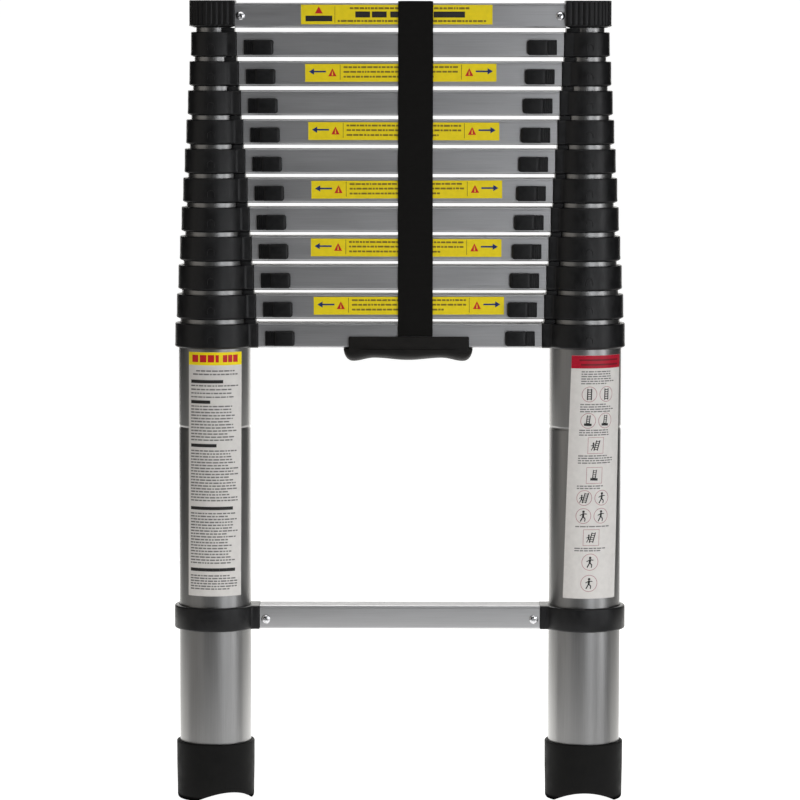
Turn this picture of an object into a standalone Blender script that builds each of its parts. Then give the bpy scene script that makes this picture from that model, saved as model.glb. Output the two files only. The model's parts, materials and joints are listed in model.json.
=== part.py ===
"""Telescoping ladder with twelve nested sections, closed for storage.

Metres, +Z up, the front of the ladder faces -Y, and the origin is on the floor midway between the feet.
Section 1 is the outermost pair of tubes, and stands on the feet. Each further section is a pair of tubes
that slides in the pair below it, with a rung across its top, up to section 12 under the end caps.
"""

import math

import bmesh
import bpy
from mathutils import Matrix, Vector

GAP = 0.0003  # between pieces that touch on the real ladder

# Layout
SECTIONS = 12
STILE_X = 0.2033  # from the ladder's centre plane to the axis of each stile
PITCH = 0.0317  # from one rung to the next while closed
FIRST_RUNG_Z = 0.4990  # underside of section 1's rung
TRAVEL = 0.2665  # how far each section slides out of the one below
LEFT, RIGHT = -1, 1

# Stile tubes, which all have the same wall and step down by a running clearance
TUBE_R = 0.0393
TUBE_STEP = 0.00183
TUBE_WALL = 0.0013
TUBE_LENGTH = 0.345  # sections 2 to 12
TUBE_SIDES = 16

# Collars: a ring on the top end of each tube, with a block that holds the rung
COLLAR_WALL = 0.0039
BLOCK_REACH = 0.0480  # from the tube's axis to the end of section 1's block
BLOCK_REACH_STEP = 0.00227
BLOCK_DEPTH = 0.040
BLOCK_ROOT = 0.008
SPACER = 0.0045  # the block stands this much above its ring, and carries the block above
SPACER_CLEARANCE = 0.003
SEAT_DEPTH = 0.001

# Rungs
RUNG_HEIGHT = 0.027
RUNG_DEPTH = 0.036
RUNG_WALL = 0.0018
RUNG_CORNER = 0.003
LOWER_RUNG_Z = 0.1890
LOWER_RUNG_HEIGHT = 0.0258

# Latches: a thumb button in front of the rung, and its locking pin behind it
LATCH_Z = 0.0105  # above the rung's underside
LATCH_TRAVEL = 0.008
BUTTON_START = 0.0080  # from the end of the block
BUTTON = Vector((0.0325, 0.0056, 0.0166))
BUTTON_CORNER = 0.002
BUTTON_CLEARANCE = 0.0004  # in front of the rung
NECK_START = 0.0190
NECK_LENGTH = 0.009
NECK_HEIGHT = 0.008
SLIDER_HALF = 0.006  # half the width and height of the slider inside the rung
SLIDER_LEAD = 0.002  # past the neck, towards the stile
SLIDER_TAIL = 0.003
PIN_ROOT = 0.004  # length of the pin inside the slider
SLOT_CLEARANCE = 0.0005
PIN_R = 0.0040
PIN_HOLE_R = 0.0047
PIN_SIDES = 8
PIN_TIP_CLEARANCE = 0.0006

# Ends of the stiles
CAP_R = 0.0267
CAP_HEIGHT = 0.0297
CAP_CROWN = 0.003
RUNG_TENON = 0.004  # how far the top rung runs into the cap's block
CLAMP_R = 0.0448
CLAMP_REACH = 0.0490
FOOT_R = 0.0430
FOOT_HEIGHT = 0.064
FOOT_SOLE = 0.019  # rubber under the tube
FOOT_SOLE_R = 0.0415
FOOT_EDGE_R = 0.0424  # above the sole's bevel
FOOT_EDGE_Z = 0.003
FOOT_WAIST_Z = 0.035  # where the foot's slight taper ends
SOLE_ARCH_HEIGHT = 0.010  # the sole is cut away in an arch between its two flats
SOLE_ARCH_HALF = 0.033
SOLE_ARCH_STEPS = 8
FOOT_TURN = {LEFT: math.radians(24), RIGHT: 0.0}  # of the sole's arch about the tube

# Carrying strap and hand grip
GRIP_X = 0.0088
GRIP_LENGTH = 0.141
GRIP_FLANGE_LENGTH = 0.130
GRIP_DEPTH = 0.047
GRIP_BOTTOM = -0.0152  # from the underside of section 1's rung
GRIP_WAIST = -0.0014
GRIP_TOP = 0.0126
GRIP_ROUND = 0.006
GRIP_FLANGE_ROUND = 0.002
GRIP_FLANGE_INSET = 0.001
GRIP_FLANGE_ROOT = 0.004  # how far the flange runs down into the handle
STRAP_X = 0.0165
STRAP_WIDTH = 0.038
STRAP_THICKNESS = 0.0016
STRAP_SLACK = 0.0006  # between the strap and the rungs that it passes


def material(name, colour, roughness, metallic=0.0):
    made = bpy.data.materials.new(name)
    made.use_nodes = True
    shader = made.node_tree.nodes["Principled BSDF"]
    shader.inputs["Base Color"].default_value = (*colour, 1.0)
    shader.inputs["Roughness"].default_value = roughness
    shader.inputs["Metallic"].default_value = metallic
    return made


def tube_radius(section):
    return TUBE_R - TUBE_STEP * (section - 1)


def section_z(section):
    """Height of the underside of a section's rung."""
    return FIRST_RUNG_Z + PITCH * (section - 1)


def block_reach(section):
    """From a tube's axis to the end of the block on it, where the rung starts."""
    return BLOCK_REACH - BLOCK_REACH_STEP * (section - 1)


def side_name(side):
    return "left" if side == LEFT else "right"


def add_object(name, mesh, parent=None, place=(0, 0, 0), finish=None):
    made = bpy.data.objects.new(name, mesh)
    bpy.context.scene.collection.objects.link(made)
    made.parent = parent
    made.location = place
    if finish:
        mesh.materials.append(finish)
    return made


def mesh_from(name, build):
    """A mesh whose faces point out, made by build(bm)."""
    bm = bmesh.new()
    build(bm)
    bmesh.ops.recalc_face_normals(bm, faces=bm.faces)
    mesh = bpy.data.meshes.new(name)
    bm.to_mesh(mesh)
    bm.free()
    mesh.shade_smooth()
    mesh.set_sharp_from_angle(angle=math.radians(35))
    return mesh


def box(name, low, high):
    """A box between two corners, given in either order along each axis."""
    low, high = Vector(low), Vector(high)
    place = Matrix.Translation((low + high) / 2) @ Matrix.Diagonal((*(high - low), 1.0))
    return mesh_from(name, lambda bm: bmesh.ops.create_cube(bm, size=1.0, matrix=place))


def turned(name, profile, sides=TUBE_SIDES):
    """A solid turned about Z from (radius, height) points that run from its bottom to its top."""

    def build(bm):
        turns = [2 * math.pi * k / sides for k in range(sides)]
        rings = [[bm.verts.new((r * math.cos(a), r * math.sin(a), z)) for a in turns] for r, z in profile]
        for lower, upper in zip(rings, rings[1:]):
            for k in range(sides):
                after = (k + 1) % sides
                bm.faces.new((lower[k], lower[after], upper[after], upper[k]))
        bm.faces.new(rings[0])
        bm.faces.new(rings[-1])

    return mesh_from(name, build)


def prism(name, outline, start, end):
    """A (y, z) outline extruded along X from start to end."""

    def build(bm):
        face = bm.faces.new([bm.verts.new((start, y, z)) for y, z in outline])
        moved = bmesh.ops.extrude_face_region(bm, geom=[face])["geom"]
        corners = [v for v in moved if isinstance(v, bmesh.types.BMVert)]
        bmesh.ops.translate(bm, verts=corners, vec=(end - start, 0, 0))

    return mesh_from(name, build)


def rod(name, radius, start, end, y=0.0, z=0.0):
    """A round rod along X."""
    turns = [2 * math.pi * (k + 0.5) / PIN_SIDES for k in range(PIN_SIDES)]
    return prism(name, [(y + radius * math.cos(a), z + radius * math.sin(a)) for a in turns], start, end)


def rounded_outline(low, high, radius, steps=2):
    """A rectangle in (y, z) with round corners."""
    centres = ((high[0], high[1], 0), (low[0], high[1], 90), (low[0], low[1], 180), (high[0], low[1], 270))
    outline = []
    for y, z, start in centres:
        inner_y = y - radius if y == high[0] else y + radius
        inner_z = z - radius if z == high[1] else z + radius
        for k in range(steps + 1):
            a = math.radians(start + 90 * k / steps)
            outline.append((inner_y + radius * math.cos(a), inner_z + radius * math.sin(a)))
    return outline


def shape_with(piece, mesh, operation):
    """Joins a second solid to a piece, or cuts it out, both in the piece's own axes."""
    tool = add_object(mesh.name, mesh, piece)
    tool.hide_render = True
    tool.display_type = "WIRE"
    step = piece.modifiers.new(mesh.name, "BOOLEAN")
    step.operation = operation
    step.solver = "EXACT"
    step.object = tool


def add_block(piece, x, inwards, reach, height, bottom=0.0):
    """The socket block that stands out of a ring towards the ladder's centre."""
    low = (x + inwards * BLOCK_ROOT, -BLOCK_DEPTH / 2, bottom)
    high = (x + inwards * reach, BLOCK_DEPTH / 2, bottom + height)
    shape_with(piece, box(f"{piece.name}_block_{len(piece.modifiers)}", low, high), "UNION")


def cut_locking_hole(piece, section, x, inwards):
    """The hole that the latch below springs into once this tube is pulled right out."""
    r = tube_radius(section)
    ends = (x + inwards * (r - 2 * TUBE_WALL), x + inwards * (r + 2 * TUBE_WALL))
    name = f"{piece.name}_locking_hole_{len(piece.modifiers)}"
    shape_with(piece, rod(name, PIN_HOLE_R, *ends, z=LATCH_Z - PITCH - TRAVEL), "DIFFERENCE")


def make_stile(section, side, parent, finish):
    """One tube with its collar, bored for the next tube and for the locking pin.
    Section 1's tube also carries the clamp of the fixed lower rung."""
    inwards = -side
    name = f"stile_{section:02d}_{side_name(side)}"
    r = tube_radius(section)
    ring_r = r + COLLAR_WALL
    bottom = RUNG_HEIGHT - TUBE_LENGTH
    profile = [(r, 0), (ring_r, 0), (ring_r, RUNG_HEIGHT)]
    if section == 1:
        bottom = FOOT_SOLE + GAP - FIRST_RUNG_Z
        clamp_z = LOWER_RUNG_Z - FIRST_RUNG_Z
        clamp_top = clamp_z + LOWER_RUNG_HEIGHT
        profile = [(r, clamp_z), (CLAMP_R, clamp_z), (CLAMP_R, clamp_top), (r, clamp_top), *profile]
    stile = add_object(name, turned(name, [(r, bottom), *profile]), parent, (side * STILE_X, 0, 0), finish)
    add_block(stile, 0, inwards, block_reach(section), RUNG_HEIGHT + SPACER)
    if section == 1:
        add_block(stile, 0, inwards, CLAMP_REACH, LOWER_RUNG_HEIGHT, clamp_z)
    bore_r = r - TUBE_WALL
    seat_r = tube_radius(section + 1) + SPACER_CLEARANCE
    seat_z = RUNG_HEIGHT - SEAT_DEPTH
    above = RUNG_HEIGHT + 2 * SPACER
    bore = [(bore_r, bottom - SPACER), (bore_r, seat_z), (seat_r, seat_z), (seat_r, above)]
    shape_with(stile, turned(f"{name}_bore", bore), "DIFFERENCE")
    passage = (inwards * (bore_r - 3 * TUBE_WALL), inwards * (block_reach(section) + TUBE_WALL))
    shape_with(stile, rod(f"{name}_pin_passage", PIN_HOLE_R, *passage, z=LATCH_Z), "DIFFERENCE")
    if section > 1:
        cut_locking_hole(stile, section, 0, inwards)
    return stile


def rung_outline(height):
    return rounded_outline((-RUNG_DEPTH / 2, 0), (RUNG_DEPTH / 2, height), RUNG_CORNER)


def hollow_out(piece, half_length, height):
    """Cuts the cavity that runs the length of a rung."""
    y = RUNG_DEPTH / 2 - RUNG_WALL
    low, high = (-half_length, -y, RUNG_WALL), (half_length, y, height - RUNG_WALL)
    shape_with(piece, box(f"{piece.name}_cavity", low, high), "DIFFERENCE")


def cut_latch_slot(piece, section, side):
    """The slot in a rung's front wall that a latch's neck slides in."""
    inwards = -side
    block_end = side * (STILE_X - block_reach(section))
    near = block_end + inwards * (NECK_START - SLOT_CLEARANCE)
    far = block_end + inwards * (NECK_START + NECK_LENGTH + LATCH_TRAVEL + SLOT_CLEARANCE)
    half = NECK_HEIGHT / 2 + SLOT_CLEARANCE
    front = -RUNG_DEPTH / 2
    low = (near, front - 2 * RUNG_WALL, LATCH_Z - half)
    high = (far, front + 2 * RUNG_WALL, LATCH_Z + half)
    shape_with(piece, box(f"{piece.name}_slot_{side_name(side)}", low, high), "DIFFERENCE")


def make_rung(section, parent, finish):
    """A hollow rung that butts on the two blocks, with a slot for each latch."""
    half = STILE_X - block_reach(section) - GAP
    name = f"rung_{section:02d}"
    rung = add_object(name, prism(name, rung_outline(RUNG_HEIGHT), -half, half), parent, finish=finish)
    if section == 1:
        add_hand_grip(rung)
    hollow_out(rung, half + RUNG_WALL, RUNG_HEIGHT)
    for side in (LEFT, RIGHT):
        cut_latch_slot(rung, section, side)
    return rung


def add_hand_grip(rung):
    """The moulded grip that is closed round section 1's rung, with a flange above a rounded handle."""
    y = GRIP_DEPTH / 2
    flange_y = y - GRIP_FLANGE_INSET
    handle = rounded_outline((-y, GRIP_BOTTOM), (y, GRIP_WAIST), GRIP_ROUND)
    flange_low, flange_high = (-flange_y, GRIP_WAIST - GRIP_FLANGE_ROOT), (flange_y, GRIP_TOP)
    flange = rounded_outline(flange_low, flange_high, GRIP_FLANGE_ROUND)
    for part, outline, length in (("handle", handle, GRIP_LENGTH), ("flange", flange, GRIP_FLANGE_LENGTH)):
        ends = (GRIP_X - length / 2, GRIP_X + length / 2)
        shape_with(rung, prism(f"{rung.name}_grip_{part}", outline, *ends), "UNION")


def make_latch(section, side, parent, finish):
    """Thumb button, neck, slider and locking pin in one piece, with its origin on the pin's axis."""
    inwards = -side
    name = f"latch_{section:02d}_{side_name(side)}"
    end = block_reach(section)
    front = -RUNG_DEPTH / 2 - BUTTON_CLEARANCE
    half = BUTTON.z / 2
    button_x = (inwards * (end + BUTTON_START), inwards * (end + BUTTON_START + BUTTON.x))
    outline = rounded_outline((front - BUTTON.y, -half), (front, half), BUTTON_CORNER, 1)
    latch = add_object(name, prism(name, outline, *sorted(button_x)), parent, finish=finish)
    latch.location = (side * STILE_X, 0, LATCH_Z)
    near, far = inwards * (end + NECK_START), inwards * (end + NECK_START + NECK_LENGTH)
    neck_low, neck_high = (near, front - BUTTON.y / 2, -NECK_HEIGHT / 2), (far, 0, NECK_HEIGHT / 2)
    shape_with(latch, box(f"{name}_neck", neck_low, neck_high), "UNION")
    slider_low = (near - inwards * SLIDER_LEAD, -SLIDER_HALF, -SLIDER_HALF)
    slider_high = (far + inwards * SLIDER_TAIL, SLIDER_HALF, SLIDER_HALF)
    shape_with(latch, box(f"{name}_slider", slider_low, slider_high), "UNION")
    tip = inwards * (tube_radius(section + 1) + PIN_TIP_CLEARANCE)
    root = near + inwards * PIN_ROOT
    shape_with(latch, rod(f"{name}_pin", PIN_R, *sorted((tip, root))), "UNION")
    return latch


def make_top_frame(parent, finish):
    """Section 12: the innermost tubes, the end caps that close them, and the top rung between them."""
    section = SECTIONS
    half = STILE_X - block_reach(section) + RUNG_TENON
    rung = prism("top_frame", rung_outline(RUNG_HEIGHT), -half, half)
    frame = add_object("top_frame", rung, parent, finish=finish)
    r = tube_radius(section)
    bottom = RUNG_HEIGHT - TUBE_LENGTH
    profile = [(r, bottom), (r, 0), (CAP_R, 0), (CAP_R, CAP_HEIGHT)]
    bore = [(r - TUBE_WALL, bottom - SPACER), (r - TUBE_WALL, CAP_HEIGHT - CAP_CROWN)]
    for side in (LEFT, RIGHT):
        x, inwards = side * STILE_X, -side
        stile = turned(f"top_stile_{side_name(side)}", profile)
        stile.transform(Matrix.Translation((x, 0, 0)))
        shape_with(frame, stile, "UNION")
        add_block(frame, x, inwards, block_reach(section), CAP_HEIGHT)
        hole = turned(f"top_bore_{side_name(side)}", bore)
        hole.transform(Matrix.Translation((x, 0, 0)))
        shape_with(frame, hole, "DIFFERENCE")
        cut_locking_hole(frame, section, x, inwards)
    hollow_out(frame, STILE_X - r + 2 * TUBE_WALL, RUNG_HEIGHT)
    return frame


def make_lower_rung(parent, finish):
    """The fixed rung above the feet, between the clamps on section 1's tubes."""
    half = STILE_X - CLAMP_REACH - GAP
    mesh = prism("lower_rung", rung_outline(LOWER_RUNG_HEIGHT), -half, half)
    rung = add_object("lower_rung", mesh, parent, (0, 0, LOWER_RUNG_Z - FIRST_RUNG_Z), finish)
    hollow_out(rung, half + RUNG_WALL, LOWER_RUNG_HEIGHT)
    return rung


def sole_arch_outline():
    """A circle's arc over the sole's width, closed below the floor."""
    height, half = SOLE_ARCH_HEIGHT, SOLE_ARCH_HALF
    r = (half**2 + height**2) / (2 * height)
    spread = math.asin(half / r)
    outline = []
    for k in range(SOLE_ARCH_STEPS + 1):
        a = spread * (2 * k / SOLE_ARCH_STEPS - 1)
        outline.append((r * math.sin(a), height - r + r * math.cos(a)))
    return [(-half, -height), *outline, (half, -height)]


def make_foot(side, parent, finish):
    """A rubber cup over the end of section 1's tube."""
    name = f"foot_{side_name(side)}"
    edge = [(FOOT_SOLE_R, 0), (FOOT_EDGE_R, FOOT_EDGE_Z)]
    profile = [*edge, (FOOT_R, FOOT_WAIST_Z), (FOOT_R, FOOT_HEIGHT)]
    foot = add_object(name, turned(name, profile), parent, (side * STILE_X, 0, -FIRST_RUNG_Z), finish)
    bore = turned(f"{name}_bore", [(TUBE_R + GAP, FOOT_SOLE), (TUBE_R + GAP, FOOT_HEIGHT + SPACER)])
    shape_with(foot, bore, "DIFFERENCE")
    arch = prism(f"{name}_arch", sole_arch_outline(), -2 * FOOT_R, 2 * FOOT_R)
    arch.transform(Matrix.Rotation(math.pi / 2 + FOOT_TURN[side], 4, "Z"))
    shape_with(foot, arch, "DIFFERENCE")
    return foot


def make_strap(parent, finish):
    """Webbing over the top rung, with legs down the front and the back of the rungs to the hand grip."""
    depth = RUNG_DEPTH / 2 + STRAP_SLACK
    top = RUNG_HEIGHT + STRAP_SLACK
    foot_z = FIRST_RUNG_Z + GRIP_TOP + GAP - section_z(SECTIONS)

    def path(out, steps=4):
        """The inside of the strap from the front leg's end to the rear one's, moved out by a distance."""
        corner = RUNG_CORNER + out
        points = [(-depth - out, foot_z)]
        for y, start in ((-depth + RUNG_CORNER, 180), (depth - RUNG_CORNER, 90)):
            for k in range(steps + 1):
                a = math.radians(start - 90 * k / steps)
                points.append((y + corner * math.cos(a), top - RUNG_CORNER + corner * math.sin(a)))
        return [*points, (depth + out, foot_z)]

    outline = path(0.0) + path(STRAP_THICKNESS)[::-1]
    ends = (STRAP_X - STRAP_WIDTH / 2, STRAP_X + STRAP_WIDTH / 2)
    return add_object("strap", prism("strap", outline, *ends), parent, finish=finish)


def main():
    for old in list(bpy.data.objects):
        bpy.data.objects.remove(old)
    aluminium = material("anodised_aluminium", (0.42, 0.42, 0.43), 0.32, 1.0)
    rung_finish = material("satin_rung_aluminium", (0.30, 0.30, 0.32), 0.38, 1.0)
    plastic = material("black_plastic", (0.015, 0.015, 0.017), 0.42)
    rubber = material("black_rubber", (0.012, 0.012, 0.012), 0.75)
    webbing = material("black_webbing", (0.010, 0.009, 0.008), 0.85)

    for section in range(1, SECTIONS + 1):
        carrier = add_object(f"section_{section:02d}", None, place=(0, 0, section_z(section)))
        if section == SECTIONS:
            make_top_frame(carrier, rung_finish)
            make_strap(carrier, webbing)
            break
        make_rung(section, carrier, rung_finish)
        for side in (LEFT, RIGHT):
            make_stile(section, side, carrier, aluminium)
            make_latch(section, side, carrier, plastic)
            if section == 1:
                make_foot(side, carrier, rubber)
        if section == 1:
            make_lower_rung(carrier, rung_finish)


main()
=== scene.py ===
"""The looks of the telescoping ladder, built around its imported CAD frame.

Metres, +Z up, and the front of the ladder faces -Y. Every mesh is made where it stands at rest, so each
object's own axes are the frame's. Places come from the CAD nodes' boxes, and details have named sizes.
"""

import json
import random
from math import asin, atan2, ceil, copysign, cos, degrees, hypot, pi, radians, sin, sqrt

import bmesh
import bpy
from mathutils import Matrix, Vector


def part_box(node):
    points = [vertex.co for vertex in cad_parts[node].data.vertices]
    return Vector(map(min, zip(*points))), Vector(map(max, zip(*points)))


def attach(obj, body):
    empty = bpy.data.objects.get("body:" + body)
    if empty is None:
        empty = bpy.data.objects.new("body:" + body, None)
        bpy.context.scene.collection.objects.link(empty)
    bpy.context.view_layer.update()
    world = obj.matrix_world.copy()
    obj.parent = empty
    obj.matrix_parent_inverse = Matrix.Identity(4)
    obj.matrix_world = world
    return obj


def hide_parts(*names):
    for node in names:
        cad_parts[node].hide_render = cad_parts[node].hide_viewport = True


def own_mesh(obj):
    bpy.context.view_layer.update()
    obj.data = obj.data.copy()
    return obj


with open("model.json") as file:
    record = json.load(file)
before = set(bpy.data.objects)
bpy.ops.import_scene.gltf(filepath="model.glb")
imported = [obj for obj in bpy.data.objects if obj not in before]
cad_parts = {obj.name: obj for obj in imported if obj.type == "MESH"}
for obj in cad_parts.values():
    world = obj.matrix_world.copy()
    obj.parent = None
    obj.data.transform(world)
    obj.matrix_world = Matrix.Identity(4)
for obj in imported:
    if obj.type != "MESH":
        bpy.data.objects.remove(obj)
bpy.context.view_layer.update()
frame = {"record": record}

MM = 0.001
SECTIONS = 12
LEFT, RIGHT = -1, 1
SIDES = (LEFT, RIGHT)


def side_name(side):
    return "left" if side == LEFT else "right"


def tag(section, side):
    return f"{section:02d}_" + side_name(side)


def in_mm(*rows):
    """Rows that are given in millimetres, in metres."""
    return [tuple(value * MM for value in row) for row in rows]


# ---- places taken from the frame

foot_low, foot_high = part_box("foot_right")
STILE_X = (foot_low.x + foot_high.x) / 2
FOOT_R = (foot_high.x - foot_low.x) / 2
FOOT_TOP = foot_high.z
SECOND_RUNG_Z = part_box("rung_02")[0].z
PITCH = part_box("rung_03")[0].z - SECOND_RUNG_Z
RUNG_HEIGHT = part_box("rung_02")[1].z - SECOND_RUNG_Z
RUNG_HALF_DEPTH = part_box("rung_02")[1].y
TOP_FRAME_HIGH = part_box("top_frame")[1]
CAP_R = TOP_FRAME_HIGH.x - STILE_X
LOWER_RUNG_LOW, LOWER_RUNG_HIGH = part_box("lower_rung")

COLLAR_WALL = 3.9 * MM
TUBE_WALL = 1.3 * MM
GAP = 0.3 * MM


def section_z(section):
    """Height of the underside of a section's rung."""
    return SECOND_RUNG_Z + PITCH * (section - 2)


def collar_radius(section):
    """Sections 2 to 11 carry only their collar, and each is one step smaller than the one below."""
    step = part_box("stile_02_right")[1].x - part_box("stile_03_right")[1].x
    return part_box("stile_02_right")[1].x - STILE_X - step * (section - 2)


def tube_radius(section):
    return collar_radius(section) - COLLAR_WALL


def block_reach(section):
    """From a tube's axis to the end of its block, where the rung starts."""
    first = STILE_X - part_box("stile_02_right")[0].x
    step = first - (STILE_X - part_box("stile_03_right")[0].x)
    return first - step * (section - 2)


def body_of(section):
    return f"section_{section:02d}"


# ---- mesh tools


class Shape:
    """Closed shells collected in one mesh. Points pass through `place` on their way in."""

    def __init__(self, place=Matrix.Identity(4)):
        self.bm = bmesh.new()
        self.place = place

    def rows(self, rows, finish=0, closed=False):
        """Joins rows of points, each a closed loop, one to the next. The end rows are filled, or joined to
        each other when closed."""
        made = [[self.bm.verts.new(self.place @ Vector(point)) for point in row] for row in rows]
        faces = [] if closed else [self.bm.faces.new(made[0]), self.bm.faces.new(made[-1])]
        for lower, upper in zip(made, made[1:] + made[:1] if closed else made[1:]):
            for k, corner in enumerate(lower):
                after = (k + 1) % len(lower)
                faces.append(self.bm.faces.new((corner, lower[after], upper[after], upper[k])))
        for face in faces:
            face.material_index = finish

    def object(self, name, finishes, angle=35):
        bmesh.ops.recalc_face_normals(self.bm, faces=self.bm.faces)
        mesh = bpy.data.meshes.new(name)
        self.bm.to_mesh(mesh)
        self.bm.free()
        mesh.shade_smooth()
        mesh.set_sharp_from_angle(angle=radians(angle))
        for finish in finishes:
            mesh.materials.append(finish)
        made = bpy.data.objects.new(name, mesh)
        bpy.context.scene.collection.objects.link(made)
        return made


def settle(piece, body, slot, *nodes):
    """Puts a finished piece on its body, and hides the CAD nodes that it stands for."""
    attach(piece, body)
    if nodes:
        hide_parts(*nodes)
    return piece


def cut(piece, shapes, angle=35):
    """Cuts closed shapes out of a piece, and applies the result."""
    cutter = shapes.object(f"{piece.name}_cutter", [])
    step = piece.modifiers.new("cut", "BOOLEAN")
    step.object, step.solver, step.operation = cutter, "EXACT", "DIFFERENCE"
    graph = bpy.context.evaluated_depsgraph_get()
    mesh = bpy.data.meshes.new_from_object(piece.evaluated_get(graph))
    piece.modifiers.clear()
    piece.data = mesh
    mesh.shade_smooth()
    mesh.set_sharp_from_angle(angle=radians(angle))
    bpy.data.objects.remove(cutter)


def around(sides):
    """Angles spaced evenly round a circle."""
    return [2 * pi * k / sides for k in range(sides)]


def turned_rows(profile, sides):
    """Circles about Z for (radius, height) points."""
    turns = around(sides)
    return [[(r * cos(a), r * sin(a), z) for a in turns] for r, z in profile]


def along_x(profile, sides):
    """Circles about X for (radius, x) points."""
    turns = around(sides)
    return [[(x, r * cos(a), r * sin(a)) for a in turns] for r, x in profile]


def arc(centre, radius, start, end, steps):
    """Points on a circle's arc between two angles in degrees."""
    turns = [radians(start + (end - start) * k / steps) for k in range(steps + 1)]
    return [(centre[0] + radius * cos(a), centre[1] + radius * sin(a)) for a in turns]


def rounded_rectangle(low, high, radius, steps=4):
    (x0, y0), (x1, y1) = low, high
    corners = ((x1, y1, -1, -1, 0), (x0, y1, 1, -1, 90), (x0, y0, 1, 1, 180), (x1, y0, -1, 1, 270))
    outline = []
    for x, y, in_x, in_y, start in corners:
        outline += arc((x + in_x * radius, y + in_y * radius), radius, start, start + 90, steps)
    return outline


def stack_rectangles(shape, low, high, radius, levels, steps=4):
    """Rounded rectangles at (height, inset) levels, each drawn in from the same two corners."""
    rows = []
    for z, inset in levels:
        near, far = (low[0] + inset, low[1] + inset), (high[0] - inset, high[1] - inset)
        rows.append([(x, y, z) for x, y in rounded_rectangle(near, far, radius, steps)])
    shape.rows(rows)


def rounded_box(shape, low, high, radius):
    """A box with round edges along Z and chamfered ends."""
    c = radius / 2
    stack_rectangles(shape, low, high, radius, ((low[2], c), (low[2] + c, 0), (high[2] - c, 0), (high[2], c)))


def at_stile(side, z=0.0):
    """Axes at a stile, with +X towards the ladder's centre on both sides."""
    return Matrix.Translation((side * STILE_X, 0, z)) @ Matrix.Diagonal((-side, 1, 1, 1))


# ---- finishes


def node(tree, kind, **values):
    made = tree.nodes.new(kind)
    for key, value in values.items():
        if key in made.inputs:
            made.inputs[key].default_value = value
        else:
            setattr(made, key, value)
    return made


def noise(tree, coordinates, size, stretch, detail=3.0):
    """Noise with features of about that size in metres, stretched along an axis where stretch is above 1."""
    scale = node(tree, "ShaderNodeMapping")
    scale.inputs["Scale"].default_value = [1 / (size * s) for s in stretch]
    tree.links.new(coordinates, scale.inputs["Vector"])
    made = node(tree, "ShaderNodeTexNoise", Scale=1.0, Detail=detail, Roughness=0.6)
    tree.links.new(scale.outputs["Vector"], made.inputs["Vector"])
    return made.outputs["Fac"]


def ranged(tree, value, low, high, start=0.3, end=0.7):
    """A value brought to a range, which stays within it."""
    made = node(tree, "ShaderNodeMapRange")
    for socket, number in (("From Min", start), ("From Max", end), ("To Min", low), ("To Max", high)):
        made.inputs[socket].default_value = number
    tree.links.new(value, made.inputs["Value"])
    return made.outputs["Result"]


def mixed(tree, factor, dark, light):
    made = node(tree, "ShaderNodeMix", data_type="RGBA")
    made.inputs["A"].default_value = (*dark, 1)
    made.inputs["B"].default_value = (*light, 1)
    tree.links.new(factor, made.inputs["Factor"])
    return made.outputs["Result"]


def bumped(tree, height, depth, before=None):
    made = node(tree, "ShaderNodeBump", Strength=1.0, Distance=depth)
    tree.links.new(height, made.inputs["Height"])
    if before:
        tree.links.new(before, made.inputs["Normal"])
    return made.outputs["Normal"]


def blank(name, metallic=0.0, **sockets):
    made = bpy.data.materials.new(name)
    made.use_nodes = True
    shader = made.node_tree.nodes["Principled BSDF"]
    shader.inputs["Metallic"].default_value = metallic
    for key, value in sockets.items():
        shader.inputs[key.replace("_", " ")].default_value = value
    return made, made.node_tree, shader


def surface(name, dark, light, roughness, patch, grain, metallic=0.0, lines=None, **sockets):
    """A finish with three scales of detail: patches of tone and gloss, a fine grain, and drawn lines.
    patch is (size, stretch), and grain and lines are (size, stretch, depth)."""
    made, tree, shader = blank(name, metallic, **sockets)
    where = node(tree, "ShaderNodeTexCoord").outputs["Object"]
    tone = noise(tree, where, patch[0], patch[1])
    fine = noise(tree, where, grain[0], grain[1], detail=2.0)
    normal = bumped(tree, fine, grain[2])
    if lines:
        drawn = noise(tree, where, lines[0], lines[1], detail=5.0)
        normal = bumped(tree, drawn, lines[2], normal)
        blend = node(tree, "ShaderNodeMath", operation="MULTIPLY_ADD")
        blend.inputs[1].default_value = 0.6
        tree.links.new(drawn, blend.inputs[0])
        rest = node(tree, "ShaderNodeMath", operation="MULTIPLY")
        rest.inputs[1].default_value = 0.4
        tree.links.new(tone, rest.inputs[0])
        tree.links.new(rest.outputs[0], blend.inputs[2])
        tone = blend.outputs[0]
    tree.links.new(mixed(tree, ranged(tree, tone, 0, 1), dark, light), shader.inputs["Base Color"])
    tree.links.new(ranged(tree, tone, *roughness), shader.inputs["Roughness"])
    tree.links.new(normal, shader.inputs["Normal"])
    return made


def plastic(name, dark, light, roughness, patch, grain, depth, specular):
    """Moulded plastic or rubber, alike in every direction. The last sizes are in millimetres."""
    return surface(name, dark, light, roughness, (patch * MM, EVEN), (grain * MM, EVEN, depth * MM),
                   Specular_IOR_Level=specular)


def extrusion(name, dark, light):
    """A rung's bare aluminium, with lines drawn along it."""
    return surface(name, dark, light, (0.34, 0.44), (40 * MM, (6, 1, 1)), (0.3 * MM, EVEN, 0.004 * MM),
                   metallic=1.0, lines=(1.0 * MM, LENGTHWAYS, 0.022 * MM))


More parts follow.
